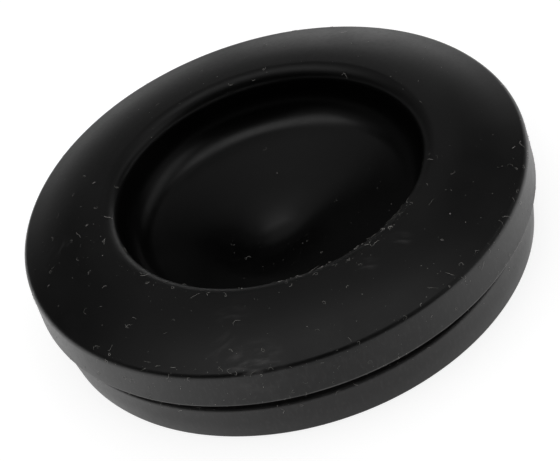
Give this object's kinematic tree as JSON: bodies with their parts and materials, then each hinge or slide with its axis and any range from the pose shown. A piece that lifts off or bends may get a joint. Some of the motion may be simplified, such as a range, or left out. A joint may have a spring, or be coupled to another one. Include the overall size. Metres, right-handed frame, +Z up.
{
  "type": "blind cable gasket",
  "caption": "One-piece black rubber cable gasket: a crowned upper flange, a panel groove and a smaller lower flange around a thin dished web that is pierced for a cable.",
  "frame": {"origin": "centre of the underside, on the surface the gasket rests on", "axes": "+Z up along the gasket's axis of revolution, out of the well in the upper flange; X and Y are alike"},
  "size_m": [0.036, 0.036, 0.0084],
  "materials": {
    "rubber": "satin moulded rubber, dusty"
  },
  "bodies": {
    "root": {"gasket": "rubber"}
  },
  "joints": []
}
